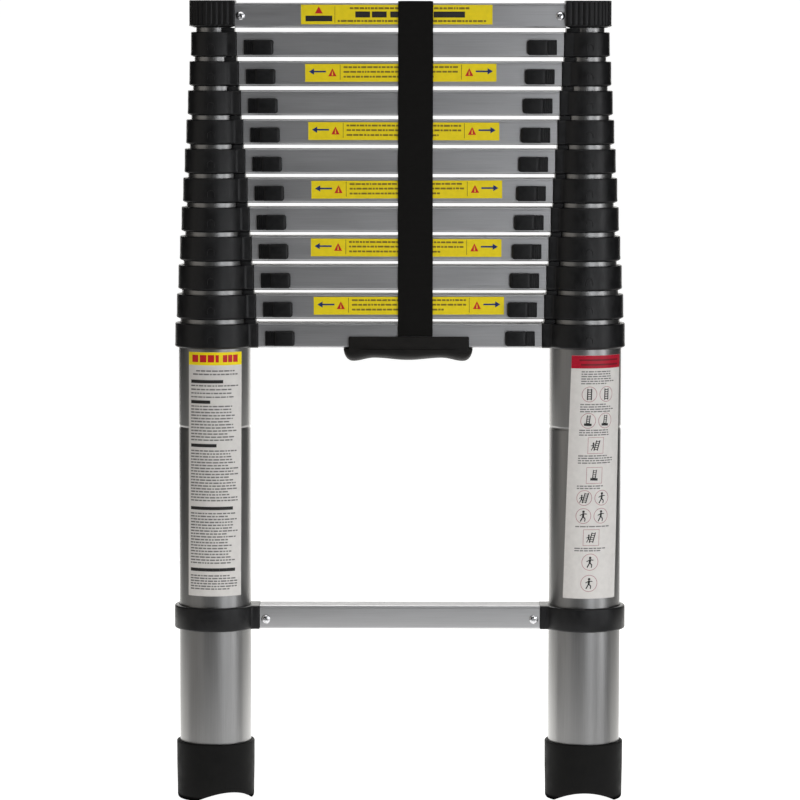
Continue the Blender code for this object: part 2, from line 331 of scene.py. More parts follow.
def woven(name, dark, light, rib, column):
    """Webbing: raised ribs across the width, in columns offset by half a rib. It reads UVs in metres."""
    made, tree, shader = blank(name, Sheen_Weight=0.02, Sheen_Roughness=0.5, Specular_IOR_Level=0.15)
    across = node(tree, "ShaderNodeTexCoord").outputs["UV"]
    bricks = node(tree, "ShaderNodeTexBrick", Scale=1.0)
    for socket, value in (
        ("Mortar Size", rib * 0.22),
        ("Mortar Smooth", 1.0),
        ("Brick Width", column),
        ("Row Height", rib),
    ):
        bricks.inputs[socket].default_value = value
    tree.links.new(across, bricks.inputs["Vector"])
    tone = noise(tree, across, 0.9 * MM, (1, 3, 1))
    tree.links.new(mixed(tree, ranged(tree, tone, 0, 1), dark, light), shader.inputs["Base Color"])
    groove = ranged(tree, bricks.outputs["Fac"], 1, 0, 0, 1)
    normal = bumped(tree, tone, 0.10 * MM, bumped(tree, groove, 0.35 * MM))
    tree.links.new(ranged(tree, tone, 0.72, 0.9), shader.inputs["Roughness"])
    tree.links.new(normal, shader.inputs["Normal"])
    return made


def ink(name, colour, spread=0.12):
    """Printed film: even colour with the faint mottle of ink on it."""
    light = [min(1.0, c * (1 + spread)) for c in colour]
    dark = [c * (1 - spread) for c in colour]
    patch, grain = (6 * MM, (1, 1, 1)), (0.5 * MM, (1, 1, 1), 0.01 * MM)
    return surface(name, dark, light, (0.42, 0.54), patch, grain, Specular_IOR_Level=0.3)


EVEN, UPRIGHT, LENGTHWAYS = (1, 1, 1), (1, 1, 60), (60, 1, 1)
tube_finish = surface(
    "anodised_tube", (0.235, 0.234, 0.232), (0.285, 0.283, 0.280), (0.34, 0.42), (26 * MM, (1, 1, 5)),
    (0.35 * MM, EVEN, 0.004 * MM), metallic=1.0, lines=(1.1 * MM, UPRIGHT, 0.004 * MM))
rung_finish = extrusion("extruded_rung", (0.39, 0.39, 0.395), (0.50, 0.50, 0.508))
lower_rung_finish = extrusion("extruded_lower_rung", (0.41, 0.41, 0.413), (0.51, 0.51, 0.516))
collar_finish = plastic(
    "collar_plastic", (0.0040, 0.0040, 0.0044), (0.0080, 0.0080, 0.0086), (0.36, 0.50), 9, 0.28, 0.03, 0.28)
cap_finish = plastic(
    "cap_plastic", (0.0040, 0.0040, 0.0043), (0.0078, 0.0078, 0.0083), (0.40, 0.52), 7, 0.26, 0.03, 0.24)
latch_finish = plastic(
    "latch_plastic", (0.0038, 0.0038, 0.0042), (0.0075, 0.0075, 0.0080), (0.34, 0.48), 5, 0.22, 0.02, 0.25)
grip_finish = surface(
    "grip_plastic", (0.0060, 0.0055, 0.0050), (0.0115, 0.0105, 0.0095), (0.5, 0.66), (10 * MM, (2, 1, 1)),
    (0.45 * MM, EVEN, 0.05 * MM), Specular_IOR_Level=0.16)
foot_finish = plastic(
    "foot_rubber", (0.0040, 0.0040, 0.0038), (0.0080, 0.0078, 0.0075), (0.6, 0.78), 12, 0.5, 0.05, 0.10)
screw_finish = surface(
    "plated_screw", (0.55, 0.55, 0.56), (0.78, 0.78, 0.79), (0.14, 0.26), (2 * MM, EVEN),
    (0.3 * MM, EVEN, 0.01 * MM), metallic=1.0)
steel_finish = surface(
    "drawn_steel", (0.36, 0.36, 0.37), (0.52, 0.52, 0.53), (0.25, 0.4), (3 * MM, EVEN),
    (0.2 * MM, EVEN, 0.006 * MM), metallic=1.0)
webbing_finish = woven(
    "black_webbing", (0.0028, 0.0026, 0.0023), (0.0068, 0.0062, 0.0055), 1.3 * MM, 2.4 * MM)
yellow_ink = ink("yellow_film", (0.83, 0.65, 0.008), 0.05)
header_ink = ink("yellow_header", (0.94, 0.74, 0.006), 0.05)
paper_ink = ink("pale_film", (0.70, 0.675, 0.645), 0.04)
red_ink = ink("red_ink", (0.55, 0.012, 0.016))
crimson_ink = ink("crimson_ink", (0.42, 0.003, 0.022))
dark_red_ink = ink("dark_red_ink", (0.16, 0.004, 0.012))
blue_ink = ink("blue_ink", (0.012, 0.03, 0.16))
black_ink = ink("black_ink", (0.020, 0.019, 0.018))
brown_ink = ink("brown_ink", (0.22, 0.155, 0.015))
grey_ink = ink("grey_ink", (0.16, 0.155, 0.15))
pink_ink = ink("pink_ink", (0.42, 0.20, 0.21))


# ---- stile tubes

TUBE_SIDES = 96
GROOVE_Z, GROOVE_HALF, GROOVE_DEPTH = 411.5 * MM, 2.6 * MM, 0.8 * MM
TUBE_LIP = 2.0 * MM  # a tube ends this far under the top of its collar
CHAMFER = 0.3 * MM
LOCK_R = 4.7 * MM
LATCH_Z = 10.5 * MM  # above the rung's underside


def tube_profile(section, bottom, top):
    """(radius, height) points up the outside and down the inside."""
    r = tube_radius(section)
    ring = []
    if section == 1:
        for k in range(9):
            t = k / 8 * 2 - 1
            ring.append((-GROOVE_DEPTH * cos(t * pi / 2) ** 2, GROOVE_Z + t * GROOVE_HALF))
    outside = [(r - CHAMFER, bottom), (r, bottom + CHAMFER)]
    outside += [(r + dent, z) for dent, z in ring]
    outside += [(r, top - CHAMFER), (r - CHAMFER, top)]
    inner = r - TUBE_WALL
    inside = [(inner, top)] + [(inner + dent, z) for dent, z in reversed(ring)] + [(inner, bottom)]
    return outside + inside


def make_tube(section, side):
    node_name = "top_frame" if section == SECTIONS else f"stile_{tag(section, side)}"
    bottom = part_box(node_name)[0].z
    top = section_z(section) + RUNG_HEIGHT - TUBE_LIP
    shape = Shape(at_stile(side))
    shape.rows(turned_rows(tube_profile(section, bottom, top), TUBE_SIDES), closed=True)
    tube = shape.object(f"tube_{tag(section, side)}", [tube_finish])
    if section > 1:
        hole = Shape(at_stile(side, bottom + section_lock_height()))
        r = tube_radius(section)
        hole.rows(along_x([(LOCK_R, r - 3 * TUBE_WALL), (LOCK_R, r + 2 * TUBE_WALL)], 24))
        cut(tube, hole)
    settle(tube, body_of(section), "stile_aluminium", node_name)


def section_lock_height():
    """From a tube's bottom end to its locking hole, which the latch below meets at the end of the travel."""
    travel = frame["record"]["behaviour"]["joints"][0]["range_m"][1]
    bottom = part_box("stile_02_right")[0].z
    return section_z(1) + LATCH_Z - travel - bottom


# ---- collars, clamps and caps

BLOCK_HALF = 20 * MM
COLLAR_FILLET = 4.5 * MM
BLOCK_CORNER = 1.2 * MM
SPACER_HALF = 18 * MM
SPACER_HEIGHT = 4.3 * MM
SEAT_CLEARANCE = 0.25 * MM


def collar_outline(radius, reach, inset):
    """A ring with a block towards +X, joined by fillets, drawn in from its full size by an inset."""
    r, half, end = radius - inset, BLOCK_HALF - inset, reach
    fillet, corner = COLLAR_FILLET + inset, max(BLOCK_CORNER - inset, 0.2 * MM)
    fillet_x = sqrt((r + fillet) ** 2 - (half + fillet) ** 2)
    lean = degrees(atan2(half + fillet, fillet_x))
    upper = arc((end - corner, half - corner), corner, 0, 90, 4)
    upper += arc((fillet_x, half + fillet), fillet, 270, 180 + lean, 7)
    lower = [(x, -y) for x, y in reversed(upper)]
    return upper + arc((0, 0), r, lean, 360 - lean, 72)[1:-1] + lower


def bored(outline, radius):
    """Points on a bore, each straight inside its point of an outline."""
    inner = []
    for x, y in outline:
        away = hypot(x, y)
        inner.append((x * radius / away, y * radius / away))
    return inner


def make_ring(shape, radius, reach, levels, inner):
    """levels are (height, inset) up the outside, and inner is (height, radius) down the bore."""
    rows = [[(x, y, z) for x, y in collar_outline(radius, reach, inset)] for z, inset in levels]
    plain = collar_outline(radius, reach, 0)
    rows += [[(x, y, z) for x, y in bored(plain, r)] for z, r in inner]
    shape.rows(rows, closed=True)


def sweep(shape, path, normals, radius, sides=8):
    """A round bead along points, each with the direction that points out of the surface it lies on."""
    rows = []
    for k, point in enumerate(path):
        ahead = (path[min(k + 1, len(path) - 1)] - path[max(k - 1, 0)]).normalized()
        out = normals[k]
        across = ahead.cross(out).normalized()
        rows.append([point + radius * (cos(a) * across + sin(a) * out) for a in around(sides)])
    shape.rows(rows)


ARCH_HALF, ARCH_LEG, ARCH_BOTTOM = 3.6 * MM, 3.6 * MM, 7.0 * MM
ARCH_SHIFT = 2.4 * MM
ARCH_BEAD = 0.45 * MM


def add_arch(shape, radius):
    """The arch-shaped mould mark on the front of a collar."""
    flat = [(-ARCH_HALF, ARCH_BOTTOM), (-ARCH_HALF, ARCH_BOTTOM + ARCH_LEG / 2)]
    flat += arc((0, ARCH_BOTTOM + ARCH_LEG), ARCH_HALF, 180, 0, 10)
    flat += [(ARCH_HALF, ARCH_BOTTOM + ARCH_LEG / 2), (ARCH_HALF, ARCH_BOTTOM)]
    path, normals = [], []
    for u, z in flat:
        a = (u - ARCH_SHIFT) / radius
        out = Vector((sin(a), -cos(a), 0))
        path.append(out * radius + Vector((0, 0, z)))
        normals.append(out)
    sweep(shape, path, normals, ARCH_BEAD)


def add_spacer(shape, section):
    """The part of the block that stands up round the next tube and carries the collar above."""
    inner, end = tube_radius(section + 1) + 1.2 * MM, block_reach(section + 1)
    lean = degrees(asin(SPACER_HALF / inner)) if inner > SPACER_HALF else 90
    outline = arc((0, 0), inner, lean, -lean, 12)
    outline += arc((end - BLOCK_CORNER, -SPACER_HALF + BLOCK_CORNER), BLOCK_CORNER, 270, 360, 4)
    outline += arc((end - BLOCK_CORNER, SPACER_HALF - BLOCK_CORNER), BLOCK_CORNER, 0, 90, 4)
    top = RUNG_HEIGHT + SPACER_HEIGHT
    shape.rows([[(x, y, z) for x, y in outline] for z in (RUNG_HEIGHT - 1 * MM, top)])


def make_collar(section, side):
    r, z = collar_radius(section), RUNG_HEIGHT
    shape = Shape(at_stile(side, section_z(section)))
    levels = in_mm((0, 2.9), (0.5, 1.4), (1.3, 0.1), (1.9, -0.25), (3.2, -0.2), (6, 0))
    levels += [(z - drop, inset) for drop, inset in in_mm((1.2, 0.15), (0.5, 0.35), (0.12, 0.75), (0, 1.25))]
    seat = tube_radius(section + 1) + SEAT_CLEARANCE
    tube = tube_radius(section) + 0.02 * MM
    step = z - 1.9 * MM
    inner = ((z, seat + 0.9 * MM), (z - 0.7 * MM, seat), (step, seat), (step, tube), (0, tube))
    make_ring(shape, r, block_reach(section), levels, inner)
    add_spacer(shape, section)
    add_arch(shape, r)
    collar = shape.object(f"collar_{tag(section, side)}", [collar_finish])
    name = f"stile_{tag(section, side)}"
    settle(collar, body_of(section), "collar_plastic", name)


CLAMP_WALL = 5.5 * MM
CLAMP_REACH = STILE_X - LOWER_RUNG_HIGH.x - GAP


def make_clamp(side):
    height = LOWER_RUNG_HIGH.z - LOWER_RUNG_LOW.z
    shape = Shape(at_stile(side, LOWER_RUNG_LOW.z))
    edge = in_mm((0, 1.6), (0.3, 0.8), (0.9, 0.25), (2, 0))
    levels = edge + [(height - z, inset) for z, inset in reversed(edge)]
    bore = tube_radius(1) + 0.03 * MM
    inner = ((height, bore + 0.8 * MM), (height - 0.8 * MM, bore), (0.8 * MM, bore), (0, bore + 0.8 * MM))
    make_ring(shape, tube_radius(1) + CLAMP_WALL, CLAMP_REACH, levels, inner)
    clamp = shape.object(f"clamp_{side_name(side)}", [collar_finish])
    settle(clamp, body_of(1), "collar_plastic", f"stile_01_{side_name(side)}")


RIB_PITCH = 5.9 * MM
RIB_DEPTH = 1.1 * MM
CAP_FINE = 0.6 * MM  # spacing of the points round the cap


def cap_outline(inset, ribs):
    """A half circle outwards and straight sides inwards, with ribs up to a depth."""
    r, end = CAP_R - inset, block_reach(SECTIONS) + 0.8 * MM - inset
    corner = 2 * MM
    straight = end - corner
    quarter, turn = pi / 2 * r, pi / 2 * corner
    half = straight + quarter
    steps = int((pi / 2 * CAP_R + block_reach(SECTIONS)) / CAP_FINE)
    points = []
    for k in range(steps + 1):
        s = k / steps * (turn + half)
        if s < turn:
            a = s / corner
            place, out = (straight + corner * cos(a), r - corner + corner * sin(a)), None
        elif s < turn + straight:
            place, out = (straight - (s - turn), r), (0, 1)
        else:
            a = pi / 2 + (s - turn - straight) / r
            out = (cos(a), sin(a))
            place = (r * out[0], r * out[1])
        if out and ribs:
            dip = ribs * (1 - abs(sin(pi * (half - (s - turn)) / RIB_PITCH))) ** 1.5
            place = (place[0] - dip * out[0], place[1] - dip * out[1])
        points.append(place)
    return points + [(x, -y) for x, y in reversed(points[:-1])]


def make_cap(side):
    """The fluted end cap, with a plain lip below the ribs and a plain rim above them."""
    top = TOP_FRAME_HIGH.z - section_z(SECTIONS)
    shape = Shape(at_stile(side, section_z(SECTIONS)))
    levels = (
        (0, 5.5 * MM, 0), (1.6 * MM, 0.4 * MM, 0), (2.2 * MM, -0.3 * MM, 0), (2.9 * MM, -0.2 * MM, 0),
        (3.4 * MM, 0.15 * MM, RIB_DEPTH), (top - 2.2 * MM, 0.1 * MM, RIB_DEPTH), (top - 1.7 * MM, 0, 0),
        (top - 0.8 * MM, 0.05 * MM, 0), (top - 0.25 * MM, 0.35 * MM, 0), (top, 1.0 * MM, 0),
        (top, 3.2 * MM, 0), (top - 0.6 * MM, 3.9 * MM, 0), (top - 0.6 * MM, 9 * MM, 0),
    )
    shape.rows([[(x, y, z) for x, y in cap_outline(inset, ribs)] for z, inset, ribs in levels])
    cap = shape.object(f"end_cap_{side_name(side)}", [cap_finish])
    settle(cap, body_of(SECTIONS), "collar_plastic", "top_frame")


# ---- rungs and screws

RUNG_WALL = 1.8 * MM
RUNG_CORNER = 2.6 * MM
RUNG_SHARP = 28  # degrees; a gentler edge is shaded smooth
TREAD_RIBS = 9
TREAD_GROOVE = 0.5 * MM
LIP_Z, LIP_HALF, LIP_DEPTH = 2.7 * MM, 0.45 * MM, 0.4 * MM  # the line under the tread's edge


def rung_outline(height, inset):
    """(y, z) points of a rung's section, from the front's foot round to the back's. The outside has a ribbed
    tread and a line on each face; the cavity has the same number of points, and is plain."""
    y, low, high = RUNG_HALF_DEPTH - inset, inset, height - inset
    detail = 0 if inset else 1
    corner = RUNG_CORNER - inset if detail else 0.8 * MM
    line = high - LIP_Z
    side = []
    for share, dip in ((-1, 0), (-0.5, 1), (0.5, 1), (1, 0)):
        side.append((y - detail * dip * LIP_DEPTH, line + share * LIP_HALF))
    edge = 1.1 * MM
    back = arc((y - corner, low + corner), corner, -90, 0, 5) + side
    back += arc((y - edge, high - edge), edge, 0, 90, 4)
    tread, pitch = [], 2 * (y - 2.4 * MM) / TREAD_RIBS
    for k in range(TREAD_RIBS):
        middle = y - 2.4 * MM - pitch * (k + 0.5)
        for offset, dip in ((0.32, 0), (0.2, 1), (-0.2, 1), (-0.32, 0)):
            tread.append((middle + offset * pitch, high - detail * dip * TREAD_GROOVE))
    return back + tread + [(-a, b) for a, b in reversed(back)]


def make_tread(name, finish, half, z, height):
    """A hollow rung, with its ends chamfered outside."""
    shape = Shape(Matrix.Translation((0, 0, z)))
    outside, cavity = rung_outline(height, 0), rung_outline(height, RUNG_WALL)
    chamfer = 0.25 * MM
    rows = []
    for x, outline, shrink in ((-half, outside, chamfer), (-half + chamfer, outside, 0),
                               (half - chamfer, outside, 0), (half, outside, chamfer)):
        scale = 1 - shrink / RUNG_HALF_DEPTH
        middle = height / 2
        rows.append([(x, a * scale, middle + (b - middle) * scale) for a, b in outline])
    rows += [[(x, a, b) for a, b in cavity] for x in (half, -half)]
    shape.rows(rows, closed=True)
    return shape.object(name, [finish], RUNG_SHARP)


SLOT_START, SLOT_LENGTH, SLOT_HALF = 18.5 * MM, 18 * MM, 4.5 * MM  # from the end of the rung


def make_rung(section):
    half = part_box(f"rung_{section:02d}")[1].x
    rung = make_tread(f"rung_tread_{section:02d}", rung_finish, half, section_z(section), RUNG_HEIGHT)
    slots = Shape(Matrix.Translation((0, 0, section_z(section) + LATCH_Z)))
    for side in SIDES:
        ends = sorted((side * (half - SLOT_START), side * (half - SLOT_START - SLOT_LENGTH)))
        outline = rounded_rectangle((ends[0], -SLOT_HALF), (ends[1], SLOT_HALF), 2 * MM)
        depths = (-RUNG_HALF_DEPTH - RUNG_WALL, -RUNG_HALF_DEPTH + 2 * RUNG_WALL)
        slots.rows([[(x, y, z) for x, z in outline] for y in depths])
    cut(rung, slots, RUNG_SHARP)
    settle(rung, body_of(section), "rung_aluminium", f"rung_{section:02d}")


def make_top_rung():
    half = STILE_X - block_reach(SECTIONS) - GAP
    rung = make_tread("rung_tread_12", rung_finish, half, section_z(SECTIONS), RUNG_HEIGHT)
    settle(rung, body_of(SECTIONS), "rung_aluminium", "top_frame")
    add_screws("top", SECTIONS, half, section_z(SECTIONS), TOP_SCREW)


def make_lower_rung():
    half, height = LOWER_RUNG_HIGH.x, LOWER_RUNG_HIGH.z - LOWER_RUNG_LOW.z
    rung = make_tread("lower_rung_tread", lower_rung_finish, half, LOWER_RUNG_LOW.z, height)
    settle(rung, body_of(1), "rung_aluminium", "lower_rung")
    add_screws("lower", 1, half, LOWER_RUNG_LOW.z, LOWER_SCREW)


TOP_SCREW, LOWER_SCREW = in_mm((6.4, 13), (6.9, 10.9))  # in from the rung's end, up from its underside
SCREW_R, SCREW_HEIGHT, SCREW_RIM, SCREW_SHANK = 5.0 * MM, 2.6 * MM, 0.5 * MM, 6 * MM
RECESS_WIDTH, RECESS_LENGTH, RECESS_DEPTH, RECESS_TURN = 1.35 * MM, 5.2 * MM, 1.9 * MM, 20


def add_screws(kind, section, half, z, place):
    for side in SIDES:
        make_screw(f"{kind}_screw_{side_name(side)}", section, side * (half - place[0]), z + place[1])


def make_screw(name, section, x, z):
    """A pan-head screw with a cross recess, whose shank goes through the rung's front wall."""
    place = Matrix.Translation((x, -RUNG_HALF_DEPTH, z)) @ Matrix.Rotation(pi / 2, 4, "X")
    turns = [radians(a) for a in range(0, 86, 9)]
    dome = [(SCREW_R * cos(a), SCREW_RIM + (SCREW_HEIGHT - SCREW_RIM) * sin(a)) for a in turns]
    shape = Shape(place)
    shape.rows(turned_rows([(2 * MM, -SCREW_SHANK), (2 * MM, 0), (SCREW_R, 0), *dome], 40))
    screw = shape.object(name, [screw_finish])
    turned = place @ Matrix.Rotation(radians(copysign(RECESS_TURN, x)), 4, "Z")
    for long, short in ((RECESS_LENGTH, RECESS_WIDTH), (RECESS_WIDTH, RECESS_LENGTH)):
        rows = []
        for height, share in ((SCREW_HEIGHT - RECESS_DEPTH, 0.55), (SCREW_HEIGHT + 1 * MM, 1.0)):
            a, b = long / 2 * share, short / 2 * share
            rows.append([(-a, -b, height), (a, -b, height), (a, b, height), (-a, b, height)])
        slot = Shape(turned)
        slot.rows(rows)
        cut(screw, slot)
    settle(screw, body_of(section), "screw_chrome")


# ---- latches

BUTTON_RIBS = 4
RIB_ZONE = 10.5 * MM  # length of the ribbed end, next to the collar


def button_outline(front, half, crown, back):
    """(y, z) points of the button's section, with round front edges and a slightly crowned face."""
    edge = min(1.5 * MM, half * 0.6, (back - front) * 0.6)
    lower = arc((front + edge, -half + edge), edge, 270, 180, 5)
    face = []
    for k in range(1, 6):
        t = k / 6 * 2 - 1
        face.append((front - crown * (1 - t * t), t * (half - edge)))
    upper = arc((front + edge, half - edge), edge, 180, 90, 5)
    return [(back, -half), *lower, *face, *upper, (back, half)]


def button_stations(length, depth, half):
    """(x, depth, half height, crown) along the button, from its ribbed end to its rounded one."""
    stations = [(0, depth * 0.30, half - 0.9 * MM, 0), (0.35 * MM, depth * 0.55, half - 0.3 * MM, 0)]
    pitch = (RIB_ZONE - 1.6 * MM) / BUTTON_RIBS
    for k in range(BUTTON_RIBS):
        x = 0.8 * MM + pitch * k
        rise = 0.62 + 0.10 * k / BUTTON_RIBS
        for step, lift in ((0.08, 0.0), (0.25, 0.11), (0.6, 0.12), (0.78, 0.0)):
            stations.append((x + step * pitch, depth * (rise + lift), half - 0.15 * MM, 0))
    stations += [(RIB_ZONE - 0.5 * MM, depth * 0.70, half - 0.15 * MM, 0),
                 (RIB_ZONE, depth * 0.88, half, 0.1 * MM),
                 (RIB_ZONE + 0.8 * MM, depth * 0.95, half, 0.25 * MM)]
    end = 3.4 * MM
    for x in (RIB_ZONE + 3 * MM, (RIB_ZONE + length - end) / 2, length - end):
        stations.append((x, depth * 0.97, half, 0.35 * MM))
    for k in range(1, 7):
        a = radians(90 * k / 6.4)
        shrink = 1 - cos(a)
        x = length - end + end * sin(a)
        stations.append((x, depth * (0.97 - 0.6 * shrink), half - 3.0 * MM * shrink, 0.3 * MM * (1 - shrink)))
    return stations


NECK_START, NECK_LENGTH, NECK_HALF = 19 * MM, 9 * MM, 4 * MM
SLIDER_HALF = 6 * MM
PIN_R, PIN_TAPER = 4 * MM, 1 * MM


def make_latch(section, side):
    """The button with its neck and slider, the steel locking pin, and the spring behind the slider."""
    node_name = f"latch_{tag(section, side)}"
    low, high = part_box(node_name)
    z = section_z(section) + LATCH_Z
    reach = block_reach(section)
    ends = [abs(STILE_X - abs(x)) for x in (low.x, high.x)]
    tip, button_end = min(ends), max(ends)
    start = reach + 8 * MM
    back = -RUNG_HALF_DEPTH - 0.4 * MM
    shape = Shape(at_stile(side, z))
    rows = []
    for x, depth, half, crown in button_stations(button_end - start, back - low.y, (high.z - low.z) / 2):
        rows.append([(start + x, y, dz) for y, dz in button_outline(back - depth, half, crown, back)])
    shape.rows(rows)
    near = reach + NECK_START
    outline = rounded_rectangle((near, -NECK_HALF), (near + NECK_LENGTH, NECK_HALF), 1 * MM)
    shape.rows([[(x, y, dz) for x, dz in outline] for y in (back - 2 * MM, -SLIDER_HALF / 2)])
    slider_end = near + NECK_LENGTH + 3 * MM
    rounded_box(shape, (near - 2 * MM, -SLIDER_HALF, -SLIDER_HALF),
                (slider_end, SLIDER_HALF, SLIDER_HALF), 1 * MM)
    button = shape.object(f"latch_button_{tag(section, side)}", [latch_finish])
    settle(button, node_name, "latch_plastic", node_name)

    pin = Shape(at_stile(side, z))
    profile = [(PIN_R - PIN_TAPER, tip), (PIN_R, tip + PIN_TAPER), (PIN_R, near + 4 * MM)]
    pin.rows(along_x(profile, 24))
    steel_pin = pin.object(f"locking_pin_{tag(section, side)}", [steel_finish])
    settle(steel_pin, node_name, "spring_steel", node_name)

    make_spring(section, side, slider_end + 0.5 * MM, z)


SPRING_LENGTH, SPRING_R, SPRING_WIRE, SPRING_TURNS = 30 * MM, 4.2 * MM, 0.45 * MM, 9


def make_spring(section, side, start, z):
    """The return spring between the slider and its seat in the rung."""
    steps = SPRING_TURNS * 14
    path, normals = [], []
    for k in range(steps + 1):
        a = 2 * pi * SPRING_TURNS * k / steps
        out = Vector((0, cos(a), sin(a)))
        path.append(out * SPRING_R + Vector((start + SPRING_LENGTH * k / steps, 0, 0)))
        normals.append(out)
    shape = Shape(at_stile(side, z))
    sweep(shape, path, normals, SPRING_WIRE, 6)
    spring = shape.object(f"return_spring_{tag(section, side)}", [steel_finish])
    settle(spring, body_of(section), "spring_steel")
    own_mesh(spring)
    seat = Shape(at_stile(side, z))
    wide = start + SPRING_LENGTH
    inner = RUNG_HALF_DEPTH - RUNG_WALL - GAP
    outline = rounded_rectangle((wide, -inner), (wide + 4 * MM, inner), 1 * MM)
    seat.rows([[(x, y, dz) for x, y in outline] for dz in (-LATCH_Z + RUNG_WALL + GAP, LATCH_Z - RUNG_WALL)])
    settle(seat.object(f"spring_seat_{tag(section, side)}", [latch_finish]),
           body_of(section), "latch_plastic")


# ---- feet

FOOT_SIDES = 128
FOOT_WALL_TOP = 1.2 * MM  # rounding of the cup's rim
SOLE_ARCH_HEIGHT, SOLE_ARCH_HALF = 10 * MM, 33 * MM
FOOT_TURN = {LEFT: radians(24), RIGHT: 0.0}
SOLE_EDGE = 1.5 * MM


def sole_height(x, y, side):
    """The arch across the sole, which turns with the foot about its tube, and its two flats."""
    turn = FOOT_TURN[side]
    across = abs(x * cos(turn) + y * sin(turn))
    if across >= SOLE_ARCH_HALF:
        return 0.0
    r = (SOLE_ARCH_HALF**2 + SOLE_ARCH_HEIGHT**2) / (2 * SOLE_ARCH_HEIGHT)
    return SOLE_ARCH_HEIGHT - r + sqrt(r * r - across * across)


def make_foot(side):
    """A rubber cup, with a beaded rim and an arched, slightly bevelled sole."""
    shape = Shape(Matrix.Translation((side * STILE_X, 0, 0)))
    r, top, bore = FOOT_R, FOOT_TOP, tube_radius(1) + 0.1 * MM
    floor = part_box("stile_01_right")[0].z - GAP
    rows = []
    for radius, lift in ((0.15, 0), (0.5, 0), (0.8, 0), (0.93, 0), (0.955, 0.25 * MM), (0.975, SOLE_EDGE),
                         (0.985, 2.2 * SOLE_EDGE)):
        points = [(radius * r * cos(a), radius * r * sin(a)) for a in around(FOOT_SIDES)]
        rows.append([(x, y, sole_height(x, y, side) + lift) for x, y in points])
    rows += turned_rows([
        (r - 0.45 * MM, 19 * MM), (r - 0.15 * MM, 35 * MM), (r - 0.05 * MM, top - 6 * MM),
        (r, top - 1.8 * MM), (r - 0.15 * MM, top - 0.8 * MM),
        (r - 0.7 * MM, top - 0.15 * MM), (r - FOOT_WALL_TOP, top),
        (bore + 0.9 * MM, top), (bore + 0.3 * MM, top - 0.3 * MM), (bore, top - 1 * MM), (bore, floor),
    ], FOOT_SIDES)
    shape.rows(rows)
    foot = shape.object(f"rubber_foot_{side_name(side)}", [foot_finish])
    settle(foot, body_of(1), "foot_rubber", f"foot_{side_name(side)}")


# ---- hand grip

GRIP_X = 8.8 * MM
FLANGE_X = 0.8 * MM  # the flange sits a little to the right of the handle
GRIP_HALF, FLANGE_HALF = 70.5 * MM, 65.8 * MM
GRIP_HALF_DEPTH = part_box("rung_01")[1].y
GRIP_WAIST = section_z(1) - 1.4 * MM
GRIP_TOP = section_z(1) + 12.6 * MM
LOBE, NECK, BELLY = 13.8 * MM, 10.2 * MM, 12.7 * MM  # depth below the waist of the handle's waves
LOBE_X, NECK_X = 60 * MM, 37 * MM


def grip_depth(x):
    """How far the handle reaches below its waist: a belly between two finger waves, and a round end lobe."""
    x = abs(x)
    if x < NECK_X:
        return BELLY + (NECK - BELLY) * (1 - cos(pi * x / NECK_X)) / 2
    if x < LOBE_X:
        return NECK + (LOBE - NECK) * (1 - cos(pi * (x - NECK_X) / (LOBE_X - NECK_X))) / 2
    t = (x - LOBE_X) / (GRIP_HALF - LOBE_X)
    return LOBE * sqrt(max(0.0, 1 - t**2.2))


def make_grip():
    shape = Shape(Matrix.Translation((GRIP_X, 0, GRIP_WAIST)))
    stations = [-GRIP_HALF + 0.05 * MM, -GRIP_HALF + 0.5 * MM, -GRIP_HALF + 1.2 * MM, -GRIP_HALF + 2.4 * MM]
    stations += [-GRIP_HALF + 4 * MM + k * 2 * MM for k in range(34)]
    stations = [x for x in stations if x < 0] + [0] + [-x for x in reversed(stations) if x < 0]
    rows = []
    for x in stations:
        deep = max(grip_depth(x), 0.6 * MM)
        share = min(1.0, 0.72 + 0.28 * sqrt(max(0.0, 1 - (abs(x) / GRIP_HALF) ** 6)))
        wide = GRIP_HALF_DEPTH * share
        row = []
        for k in range(25):
            a = pi * k / 24
            c, s = cos(a), sin(a)
            row.append((x, wide * copysign(abs(c) ** 0.7, c), -deep * s**0.8))
        rows.append(row + [(x, -wide + 0.8 * MM, 0.6 * MM), (x, wide - 0.8 * MM, 0.6 * MM)])
    shape.rows(rows)
    flange_low = (FLANGE_X - FLANGE_HALF, -GRIP_HALF_DEPTH + 1 * MM, -4 * MM)
    flange_high = (FLANGE_X + FLANGE_HALF, GRIP_HALF_DEPTH - 1 * MM, GRIP_TOP - GRIP_WAIST)
    top = flange_high[2]
    levels = ((flange_low[2], 0), (top - 1.2 * MM, 0), (top - 0.35 * MM, 0.35 * MM), (top, 1.2 * MM))
    stack_rectangles(shape, flange_low, flange_high, 1.6 * MM, levels, 5)
    grip = shape.object("hand_grip", [grip_finish], 40)
    settle(grip, body_of(1), "grip_plastic", "rung_01")


# ---- strap

STRAP_LOW, STRAP_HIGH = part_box("strap")
STRAP_THICKNESS = 1.5 * MM
STRAP_COLUMNS = 16


